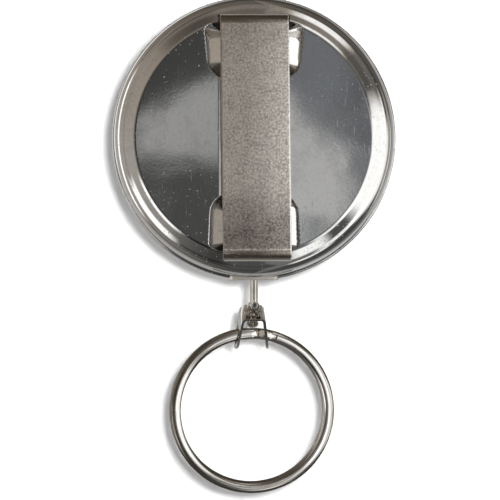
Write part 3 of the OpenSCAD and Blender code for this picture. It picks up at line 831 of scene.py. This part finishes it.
def bumped(tree, height, strength, reach, under=None):
    """A Bump node. reach is its distance in metres, under is a normal to add to."""
    inputs = {"Height": height, "Strength": strength, "Distance": reach}
    if under is not None:
        inputs["Normal"] = under
    return add_node(tree, "Bump", None, inputs)


# %% [markdown]
# A finish is a function that returns three wires: colour, roughness and normal. One
# helper makes a material of it. All patterns read the object's own coordinates, so they
# stay on the piece when it moves.

# %% Helpers for materials
def make_finish(name, build, metallic=1.0):
    """A material whose build function returns colour, roughness and normal."""
    material = bpy.data.materials.new(name)
    material.use_nodes = True
    tree = material.node_tree
    shader = tree.nodes["Principled BSDF"]
    shader.inputs["Metallic"].default_value = metallic
    place = add_node(tree, "TexCoord", out=3)
    for socket, value in zip(("Base Color", "Roughness", "Normal"), build(tree, place)):
        tree.links.new(value.socket, shader.inputs[socket])
    print("material", name, "with", len(tree.nodes), "nodes")
    return material


def dress(piece, material):
    """Give a piece this one material."""
    piece.data.materials.clear()
    piece.data.materials.append(material)


# %% [markdown]
# ## Polished steel
# The covers are bright steel that has been carried for years. Close up there are fine
# lengthwise scratches, a few deeper nicks and a faint haze of wear, and otherwise the
# sheet is a mirror. Scratches are a noise that is stretched many times over and cut off
# near its peaks, so that only thin lines are left. They roughen the mirror and dent it.

# %% Polished case steel
CLEAN_STEEL, DIRTY_STEEL = (0.73, 0.725, 0.71), (0.52, 0.51, 0.485)
# Each set of scratches has its direction in degrees, its stretch and where its noise is cut off
SCRATCH_SETS = [(4, (5600, 300, 160), 0.67), (31, (4800, 300, 210), 0.68), (-58, (5200, 300, 180), 0.69)]


def scratches(tree, place, turn, scale, low, high):
    """Thin lines along one direction, as a mask."""
    stretched = mapped(tree, place, scale, (0, math.radians(turn), 0))
    return noise(tree, stretched, 1.0, 3.0, 0.6, 0.15).step(low, high)


def polished(tree, place):
    """A mirror with scratches, nicks, haze and a very fine mottle."""
    sets = [scratches(tree, place, turn, scale, low, low + 0.1) for turn, scale, low in SCRATCH_SETS]
    lines = ((sets[0] + sets[1] + sets[2]) * 0.5).least(1.0)
    nicks = noise(tree, place, 2300.0, 1.0, 0.5).step(0.715, 0.785)
    haze = noise(tree, place, 110.0, 5.0, 0.65).step(0.42, 0.75)
    mottle = noise(tree, place, 1500.0, 4.0, 0.75)
    dirt = (haze * 0.45 + lines * 0.35 + nicks * 0.4 + (mottle - 0.5) * 1.3).clamped()
    colour = tone(tree, dirt, CLEAN_STEEL, DIRTY_STEEL)
    rough = 0.035 + haze * 0.035 + lines * 0.08 + nicks * 0.15
    wave = noise(tree, place, 120.0, 1.0, 0.4)
    dent = bumped(tree, wave, 0.05, 0.0004)
    dent = bumped(tree, mottle, 0.08, 0.00002, dent)
    dent = bumped(tree, lines * -0.5 + nicks * 1.5, 0.5, 0.00002, dent)
    return colour, rough, dent


steel = make_finish("polished_case_steel", polished)
dress(back_cover, steel)
dress(front_cover, steel)

# %% [markdown]
# ## The clip's matte steel
# The strip was blasted or tumbled before plating, so it is covered in fine bright and
# dark grains of a few tenths of a millimetre. A fine noise and random cells make the
# grains, and a slower noise gathers them into patches. Painted shade darkens the strip
# towards its lower end and a little near its top. Its bends are rubbed smooth and darkened
# by painted shade. Painted highlights brighten its ends, a glint along its lower bend and
# its right edge, and painted shade darkens its left edge.

# %% Speckled clip steel
DARK_GRAIN, BRIGHT_GRAIN = (0.42, 0.375, 0.335), (1.0, 0.93, 0.86)
# Grains darkened by painted shade, for the lower end and the top
SHADED_DARK_GRAIN, SHADED_BRIGHT_GRAIN = (0.14, 0.124, 0.11), (0.50, 0.455, 0.41)
# Painted shade for the bends, and a painted highlight for the cut ends
BEND_SHADE_COLOUR, END_HIGHLIGHT_COLOUR = (0.31, 0.27, 0.22), (1.0, 0.97, 0.93)
# Painted shade on the left edge, and a painted highlight on the right edge
SHADED_LEFT_EDGE_COLOUR, LIT_RIGHT_EDGE_COLOUR = (0.34, 0.30, 0.25), (1.0, 0.98, 0.95)
# Heights between which painted shade darkens the strip, at its lower end and near its top
SHADE_LOW, SHADE_TOP = (-19.5, -6.5), (13, 21)


def grains(tree, place):
    """The grain's height, and how bright each grain is."""
    grain = noise(tree, place, 2300.0, 3.0, 0.75)
    values = {"Vector": place, "Scale": 4400.0, "Randomness": 1.0}
    cell = add_node(tree, "SeparateColor", None, {0: add_node(tree, "TexVoronoi", None, values, out=1)})
    patch = noise(tree, place, 420.0, 4.0, 0.65)
    spark = grain.step(0.42, 0.66) * 0.85 + cell * 0.5 + (patch - 0.5) * 0.9 + 0.09
    return grain + cell * 0.3, spark.clamped()


def speckled(tree, place):
    """Matte grains, with rubbed bends and painted light and shade on bends, ends, edges and lower end.
    All places are in mm.
    """
    height_of_grain, spark = grains(tree, place)
    x, _, z = (c * (1 / MM) for c in split(tree, place))
    above, below = z - CLIP_TOP, CLIP_LOW[2] - z
    # Painted shade: darker towards the lower end and a little near the top
    dull = (1 - z.step(*SHADE_LOW)).most(z.step(*SHADE_TOP) * 0.3)
    off_middle = x - CLIP_SHIFT + above * CLIP_LEAN
    rim = (off_middle.math("ABSOLUTE") - CLIP_HIGH[0]).step(-0.33, -0.17)
    # The bends, rubbed smoother and darkened by painted shade
    bends = above.step(-2.0, -1.4).most(below.step(-2.0, -1.5))
    # The cut ends, brightened by a painted highlight and made rougher
    ends = above.step(-0.35, -0.15).most(below.step(-0.35, -0.15))
    # A painted glint of bright grains along the lower bend
    glint = below.band(-2.3, -2.0, 0.12) * spark
    dark = tone(tree, dull, DARK_GRAIN, SHADED_DARK_GRAIN)
    bright = tone(tree, dull, BRIGHT_GRAIN, SHADED_BRIGHT_GRAIN)
    colour = tone(tree, spark, dark, bright)
    colour = tone(tree, bends * 0.9, colour, BEND_SHADE_COLOUR)
    colour = tone(tree, ends * 0.9, colour, END_HIGHLIGHT_COLOUR)
    colour = tone(tree, glint, colour, BRIGHT_GRAIN)
    # Painted shade on the left edge and a painted highlight on the right edge
    edge = tone(tree, x.step(-1, 1), SHADED_LEFT_EDGE_COLOUR, LIT_RIGHT_EDGE_COLOUR)
    colour = tone(tree, rim * 0.9, colour, edge)
    rough = 0.45 - spark * 0.12 - rim.most(bends) * 0.26 - rim * 0.08 + ends * 0.3
    return colour, rough, bumped(tree, height_of_grain, 0.5, 0.0001)


clip_steel = make_finish("speckled_clip_steel", speckled)
dress(clip, clip_steel)

# %% [markdown]
# ## Drawn steel of the ring
# The ring's wire was drawn through a die, so its streaks run along the wire, with a brown
# tarnish along them. Painted shade darkens the wire's edges and some stretches of the ring.
# A pattern that follows the wire needs coordinates that do: the distance from the ring's
# centre, the depth and the angle round it.

# %% Drawn ring steel
# Clean steel, and the brown of tarnish and painted shade
CLEAN_RING, TARNISH_AND_SHADE_RING = (0.80, 0.78, 0.74), (0.20, 0.17, 0.13)
ring_x, ring_deep = -ring_y * math.sin(HANG), EXIT_Y + ring_y * math.cos(HANG)
# How tightly the streaks lie across the wire, per mm, and along it, per radian
ACROSS, ALONG = 4.2, 1.6


def drawn(tree, place):
    """Streaks, tarnish and painted shade in the ring's own round coordinates, in mm."""
    x, y, z = (c * (1 / MM) for c in split(tree, place))
    x, y, up = x - ring_x, y - ring_deep, z - ring_z
    right = x * math.cos(HANG) + y * math.sin(HANG)
    deep = y * math.cos(HANG) - x * math.sin(HANG)
    reach = (right * right + up * up).math("SQRT")
    turn = up.math("ARCTAN2", right)
    along = add_node(tree, "CombineXYZ", None, {0: reach * ACROSS, 1: deep * ACROSS, 2: turn * ALONG})
    streak = noise(tree, along, 1.0, 3.0, 0.65)
    out = reach - RING_R
    # Painted shade on the wire's edges and on four set stretches of the ring
    rim = out.math("ABSOLUTE").step(0.72, 1.02)
    left_outside = (-right).step(1, 12) * out.step(-0.25, 0.3)
    low = (-up).step(7, 14) * 0.75
    upper_left = up.step(3, 11) * (-right).step(-4, 9) * 0.7
    right_outside = right.step(3, 12) * out.step(0.15, 0.5) * 0.6
    shade = left_outside.most(low).most(upper_left).most(right_outside)
    # Tarnish along the streaks, mixed with that painted shade
    tarnish_and_shade = (shade * 0.75 + rim * 0.8 + (streak - 0.5) * 2.0).clamped()
    pitted = noise(tree, place, 1800.0, 2.0, 0.6)
    rough = 0.09 + tarnish_and_shade * 0.1 + (pitted - 0.5) * 0.06
    colour = tone(tree, tarnish_and_shade, CLEAN_RING, TARNISH_AND_SHADE_RING)
    return colour, rough, bumped(tree, streak, 0.25, 0.00004)


ring_steel = make_finish("drawn_ring_steel", drawn)
dress(ring, ring_steel)

# %% [markdown]
# ## Nickel and the metals inside
# The small hanging pieces are nickel-plated and rubbed by use, and the guide's nickel is
# paler and duller. Inside are plain steel, blued spring steel and yellow brass. All of
# them share one recipe, a rubbed metal with a fine grain, and differ only in its values.

# %% The other metals
def rubbed_metal(bright, dull, rough, haze, grain, reach):
    """A recipe: two colours, the roughness and its spread, the grain's scale and its depth."""
    def build(tree, place):
        rubbed = noise(tree, place, grain * 0.12, 3.0, 0.55).step(0.35, 0.7)
        pitted = noise(tree, place, grain, 2.0, 0.6)
        fine = scratches(tree, place, 35, (grain * 2, grain * 0.4, grain * 0.1), 0.64, 0.8)
        colour = tone(tree, rubbed * 0.7 + fine * 0.3, bright, dull)
        shine = rough + rubbed * haze + fine * 0.1 + (pitted - 0.5) * haze
        return colour, shine, bumped(tree, pitted * 0.6 + fine, 0.3, reach)
    return build


nickel = make_finish("rubbed_nickel", rubbed_metal(
    (0.62, 0.59, 0.54), (0.36, 0.33, 0.28), 0.08, 0.06, 1500.0, 0.00001))
guide_nickel = make_finish("worn_guide_nickel", rubbed_metal(
    (0.95, 0.92, 0.87), (0.74, 0.69, 0.61), 0.36, 0.1, 1300.0, 0.00003))
plain_steel = make_finish("plain_inner_steel", rubbed_metal(
    (0.5, 0.5, 0.51), (0.36, 0.36, 0.37), 0.32, 0.12, 1400.0, 0.00003))
spring_steel = make_finish("blued_spring_steel", rubbed_metal(
    (0.26, 0.28, 0.33), (0.17, 0.18, 0.22), 0.3, 0.1, 1600.0, 0.00002))
brass = make_finish("turned_brass", rubbed_metal(
    (0.80, 0.62, 0.30), (0.62, 0.44, 0.20), 0.24, 0.1, 1500.0, 0.00002))
for piece, material in ((plate, guide_nickel), (eyelet, guide_nickel), (pin, nickel), (stirrup, nickel)):
    dress(piece, material)

# %% [markdown]
# ## Nylon, and the pieces that stay
# The drum's core is moulded nylon: off-white, slightly uneven and half dull. The pieces
# inside the case keep their shape from the frame, and take their finish by the slot that
# the record gives them.

# %% Moulded nylon and a finish for each slot
def moulded(tree, place):
    """Off-white plastic with a faint mottle."""
    mottle = noise(tree, place, 400.0, 3.0, 0.5)
    grain = noise(tree, place, 3000.0, 2.0, 0.5)
    colour = tone(tree, mottle.step(0.3, 0.7), (0.72, 0.70, 0.64), (0.64, 0.62, 0.55))
    return colour, 0.42 + (grain - 0.5) * 0.15, bumped(tree, grain, 0.2, 0.00003)


nylon = make_finish("moulded_nylon", moulded, metallic=0.0)
finishes = {"polished_case": steel, "clip_steel": clip_steel, "nickel": nickel, "ring_steel": ring_steel,
            "plain_steel": plain_steel, "spring_steel": spring_steel, "brass": brass, "nylon": nylon}
redrawn = set()
for o in bpy.data.objects:
    redrawn.update(o.get("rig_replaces", []))
for row in frame["record"]["subparts"]:
    if row["node"] not in redrawn:
        dress(frame["nodes"][row["node"]], finishes[row["material_slot"]])
print("frame pieces that stay and got a finish:", len(frame["nodes"]) - len(redrawn))

# %% [markdown]
# ## What the steel mirrors
# A mirror has hardly any look of its own: it shows the room. The photograph was taken
# straight on, over white paper, with a large window-like softbox at the right, smaller
# lights round about and a dim brownish room between them. We build that room as a world,
# from the direction of each ray. `away` is the angle in degrees from straight back to
# the camera, and `east` and `north` say how far the ray points to the right and up.

# %% Directions in the room
world = bpy.data.worlds.new("studio_room")
bpy.context.scene.world = world
world.use_nodes = True
room = world.node_tree
room.nodes.clear()
ray = add_node(room, "TexCoord", out=0)
east_ray, depth_ray, north_ray = split(room, ray)
across = (east_ray * east_ray + north_ray * north_ray).math("SQRT").most(0.0001)
east = east_ray / across
north = north_ray / across
away = (-depth_ray).math("ARCCOSINE") * math.degrees(1)


def toward(angle, half, soft):
    """A soft-edged sector of directions about an angle, counted from the right over the top."""
    a = math.radians(angle)
    facing = east * math.cos(a) + north * math.sin(a)
    return facing.step(math.cos(math.radians(half + soft)), math.cos(math.radians(max(half - soft, 0))))


def ring_of(right, top, left, bottom):
    """Brightness round one ring of directions, from its four sides."""
    r, l, t, b = (w.most(0.0) for w in (east, -east, north, -north))
    return r * r * right + t * t * top + l * l * left + b * b * bottom


print("room nodes so far:", len(room.nodes))

# %% [markdown]
# The base of the room is a row of rings about the line to the camera. Each has its angle
# and its brightness at the right, top, left and bottom, and fades into the next.

# %% Rings of the room
RING_FADE = 9
rings = [(0, (0.07, 0.05, 0.045, 0.045)), (20, (0.14, 0.24, 0.44, 0.09)),
         (38, (0.06, 0.14, 0.45, 0.07)), (68, (0.12, 0.14, 0.28, 0.09)),
         (88, (0.1, 0.06, 0.5, 0.45)), (118, (0.1, 0.35, 0.6, 0.5)),
         (140, (0.2, 0.35, 0.3, 0.25)), (165, (0.1, 0.16, 0.12, 0.1))]
light = ring_of(*rings[0][1])
for (_, low), (angle, high) in zip(rings, rings[1:]):
    change = [h - l for l, h in zip(low, high)]
    light = light + away.step(angle - RING_FADE, angle + RING_FADE) * ring_of(*change)
print("room rings:", len(rings))

# %% [markdown]
# On that base lie the softboxes and windows. Each is a band of angles times a sector of
# directions, and a value near one renders as white on steel. Two of them are negative:
# dark corners of the room, which give the slope round the pads its dark stretches.

# %% Softboxes, windows and dark corners
# From and to in degrees, softness, then direction, half width and softness, then brightness
panels = [
    (11, 44, 3, -5, 27, 7, 1.25),
    (44, 61, 3, -9, 16, 9, 1.15),
    (84, 96, 3, -9, 16, 9, 0.8),
    (62, 83, 3, 0, 20, 8, 0.34),
    (63, 81, 3, 180, 30, 8, 1.3),
    (13, 27, 3, -40, 14, 6, 1.1),
    (27, 40, 4, -61, 9, 5, 1.15),
    (24, 39, 4, 61, 11, 6, 1.0),
    (27, 44, 4, 119, 10, 7, -0.13),
    (13, 44, 4, 241, 13, 7, -0.07),
    (17, 33, 4, 210, 15, 6, 1.3),
    (105, 140, 8, -10, 60, 15, 0.35),
    (132, 152, 4, 150, 42, 10, 0.9),
    (152, 166, 3, 15, 40, 10, 0.8),
]
for low, high, fade, angle, half, soft, strength in panels:
    light = light + away.band(low, high, fade) * toward(angle, half, soft) * strength
print("panels:", len(panels))

# %% [markdown]
# ## Straight behind the camera
# The flat pads look straight back past the camera, so each point of them shows one small
# spot of what is behind it: mostly dark, with pale patches that fill the middle of the
# left pad and most of the right one. `u` and `v` are how far right of and above the
# picture's middle such a spot is seen, in pixels of the photograph. A little noise in
# them makes the patches' outlines wander, as they do in sheet that isn't quite flat.

# %% Places on the pads, in pixels
LENS, SENSOR, PHOTO = 132.9, 36, 500
FOCAL = LENS / SENSOR * PHOTO
WANDER = 26
wander = noise(room, ray, 90.0, 3.0, 0.6) - 0.5
stray = noise(room, mapped(room, ray, shift=(3, 1, 2)), 90.0, 3.0, 0.6) - 0.5
to_camera = (-depth_ray).most(0.05)
u = east_ray / to_camera * FOCAL + wander * WANDER
v = north_ray / to_camera * FOCAL + stray * WANDER
print("focal length in pixels:", round(FOCAL))

# %% [markdown]
# Each patch is a product of soft steps, one for each of its sides. The right patch has a
# curved upper side and a dim round spot in it.

# %% Pale patches on the two pads
# Where the patches begin beside the clip, each from none to full
BESIDE_CLIP, BESIDE_RIGHT = (5, 25), (10, 30)
# The left patch: its slanted upper side and its lower side
LEFT_TOP, LEFT_LEAN, LEFT_LOW = (188, 200), 0.55, (80, 98)
# The right patch: its curved upper side, and its lower and outer sides
RIGHT_TOP, RIGHT_FALL, RIGHT_CURVE, RIGHT_LEAST = 185, -0.35, -0.012, 104.0
TOP_SOFT, RIGHT_LOW, RIGHT_OUTER = (-3, 3), (-10, 14), (99, 108)
# The dim spot in it: its place, its edge and the edge of its shade
SPOT_U, SPOT_V, SPOT_EDGE, SPOT_SHADE = 64, 24, (8, 20), (6, 18)
# Under the patches: where the right base falls off, a streak on the left, and its floor
BASE_FALL, STREAK_U, STREAK_V, LEFT_FLOOR = (92, 112), (84, 104, 8), (30, 60, 12), (62, 90)
# A bright field far out at the right
FAR_RIGHT_U, FAR_RIGHT_V = (135, 400, 15), (85, 178, 18)
left_patch = 1 - (v - u * LEFT_LEAN).step(*LEFT_TOP)
left_patch = left_patch * v.step(*LEFT_LOW) * (-u).step(*BESIDE_CLIP)
right_top = (u * u * RIGHT_CURVE + u * RIGHT_FALL + RIGHT_TOP).most(RIGHT_LEAST)
right_patch = (right_top - v).step(*TOP_SOFT) * v.step(*RIGHT_LOW) * u.step(*BESIDE_RIGHT)
right_patch = right_patch * (1 - u.step(*RIGHT_OUTER) * 0.85)
spot = ((u - SPOT_U) * (u - SPOT_U) + (v - SPOT_V) * (v - SPOT_V)).math("SQRT")
right_patch = right_patch * (spot.step(*SPOT_EDGE) * 0.85 + 0.15)
right_base = u.step(*BESIDE_CLIP) * (0.15 - u.step(*BASE_FALL) * 0.08)
right_base = right_base * (spot.step(*SPOT_SHADE) * 0.5 + 0.5)
left_streak = (-u).band(*STREAK_U) * v.band(*STREAK_V) * 0.06
left_base = (-u).step(*BESIDE_CLIP) * (0.015 + left_streak + (1 - v.step(*LEFT_FLOOR)) * 0.02)
blot = noise(room, ray, 260.0, 4.0, 0.65) * 0.9 + 0.55
spots = (left_patch * 0.33 + right_patch * 0.34 + right_base + left_base) * blot
near = 1 - away.step(7.5, 10.5)
far_right = u.band(*FAR_RIGHT_U) * (v.band(*FAR_RIGHT_V) * 0.8 + 0.2)
light = light + spots * near + far_right * 0.5
print("room nodes with the pads' patches:", len(room.nodes))

# %% [markdown]
# The front cover mirrors the other side of the room. One slanted patch there keeps its
# flat middle from looking like plain grey paint.

# %% A patch for the front cover
# How steep the patch's lower and upper sides are, and where each fades
LOW_SLANT, LOW_FADE, HIGH_SLANT, HIGH_FADE = 0.6, (-0.012, 0.010), -0.3, (0.045, 0.075)
BACK_WANDER, BACK_STRENGTH = 0.03, 0.4
to_back = depth_ray.most(0.05)
back_u = east_ray / to_back + wander * BACK_WANDER
back_v = north_ray / to_back + stray * BACK_WANDER
low_side = (back_v - back_u * LOW_SLANT).step(*LOW_FADE)
high_side = 1 - (back_v - back_u * HIGH_SLANT).step(*HIGH_FADE)
back_patch = low_side * high_side * depth_ray.step(0.93, 0.96) * blot
light = light + back_patch * BACK_STRENGTH
print("room nodes with the front cover's patch:", len(room.nodes))

# %% [markdown]
# ## The room's colours
# The dim parts of the room are brownish, and the darker part of the right pad mirrors
# something bluish. Diffuse rays see a dimmer room than mirrored ones do, so that the key
# lamp below can throw a shadow, and the camera sees plain white.

# %% Tint the room and close it
WHITE, BROWN, BLUISH = (1.0, 1.0, 1.0), (1.0, 0.87, 0.74), (0.90, 0.96, 1.06)
DIFFUSE_LOSS, BLUISH_U = 0.84, (25, 150, 15)
right_window = away.band(62, 83, 3) * toward(0, 20, 8)
brownish = ((-east).most(0.0) * 0.5 + north.most(0.0) * 0.9 + right_window * 0.8).least(1.0)
warm = (1 - near) * brownish * (1 - light.step(0.5, 1.0)) * away.band(12, 130, 10)
cool = near * u.band(*BLUISH_U) * (1 - right_patch) * 0.8
tint = tone(room, cool, tone(room, warm, WHITE, BROWN), BLUISH)
seen = add_node(room, "LightPath", out=0)
diffuse = add_node(room, "LightPath", out=2)
strength = light * (1 - diffuse * DIFFUSE_LOSS)
lit = add_node(room, "Background", None, {"Color": tint, "Strength": strength})
white = add_node(room, "Background", None, {"Color": (1, 1, 1, 1), "Strength": 1.0})
both = add_node(room, "MixShader", None, {0: seen, 1: lit, 2: white})
end = room.nodes.new("ShaderNodeOutputWorld")
room.links.new(both.socket, end.inputs["Surface"])
print("room nodes:", len(room.nodes))

# %% [markdown]
# ## Wall and floor
# The object lies over white paper, which we stand up as a wall close behind it, so that
# the key lamp throws the soft grey edge of shadow to the left. Both sheets show only
# from their front, so that they never hide the object from a camera behind or below, and
# neither is mirrored, because the room above already says what the steel sees.

# %% Paper wall and floor
def paper(name, strength):
    """White paper that glows a little for the camera and is clear from its back."""
    material = bpy.data.materials.new(name)
    material.use_nodes = True
    tree = material.node_tree
    tree.nodes.clear()
    camera_ray = add_node(tree, "LightPath", out=0)
    glossy_ray = add_node(tree, "LightPath", out=3)
    backfacing = add_node(tree, "NewGeometry", out=6)
    matte = add_node(tree, "BsdfDiffuse", None, {"Color": (0.8, 0.8, 0.8, 1)})
    glow = add_node(tree, "Emission", None, {"Color": (1, 1, 1, 1), "Strength": camera_ray * strength})
    sheet = add_node(tree, "AddShader", None, {0: matte, 1: glow})
    clear = add_node(tree, "BsdfTransparent")
    mixed = add_node(tree, "MixShader", None, {0: glossy_ray.most(backfacing), 1: sheet, 2: clear})
    out = tree.nodes.new("ShaderNodeOutputMaterial")
    tree.links.new(mixed.socket, out.inputs["Surface"])
    return material


WALL_Y, FLOOR_Z = 50, -85
WALL_SIZE, WALL_MIDDLE_Z, FLOOR_SIZE = 500, 160, 1600
bpy.ops.object.select_all(action="DESELECT")
bpy.ops.mesh.primitive_plane_add(size=WALL_SIZE * MM, location=(0, WALL_Y * MM, WALL_MIDDLE_Z * MM),
                                 rotation=(math.pi / 2, 0, 0))
wall = start("paper_wall")
dress(wall, paper("white_paper_wall", 0.09))
bpy.ops.mesh.primitive_plane_add(size=FLOOR_SIZE * MM, location=(0, 0, FLOOR_Z * MM))
floor = start("paper_floor")
dress(floor, paper("white_paper_floor", 0.78))
print("wall at y =", WALL_Y, "and floor at z =", FLOOR_Z)

# %% [markdown]
# ## Key lamp and camera
# The key lamp is a small round softbox close beside the camera, a little higher and to
# the right, so its shadow peeps out only on the left and below. It isn't mirrored, and
# the camera doesn't see it. The camera looks along +Y from the distance and with the
# lens at which the outline falls where the photograph has it.

# %% Key lamp and camera
CAMERA = Vector((-0.72, -345, -21.22))
LAMP, LAMP_AIM, LAMP_SIZE, LAMP_WATTS = Vector((12.9, -345, -10.8)), Vector((0, 0, -15.5)), 18, 1.85
bpy.ops.object.light_add(type="AREA", location=LAMP * MM)
key = bpy.context.object
key.name = "key_softbox"
key.data.shape = "DISK"
key.data.size = LAMP_SIZE * MM
key.data.energy = LAMP_WATTS
key.rotation_euler = (LAMP_AIM - LAMP).to_track_quat("-Z", "Y").to_euler()
key.visible_glossy = False
key.visible_camera = False
bpy.ops.object.camera_add(location=CAMERA * MM, rotation=(math.pi / 2, 0, 0))
camera = bpy.context.object
camera.name = "photo_camera"
camera.data.sensor_width = SENSOR
camera.data.lens = LENS
camera.data.clip_start = 0.01
bpy.context.scene.camera = camera
bpy.context.scene.view_settings.view_transform = "Standard"
print("camera lens in mm:", round(camera.data.lens, 1))
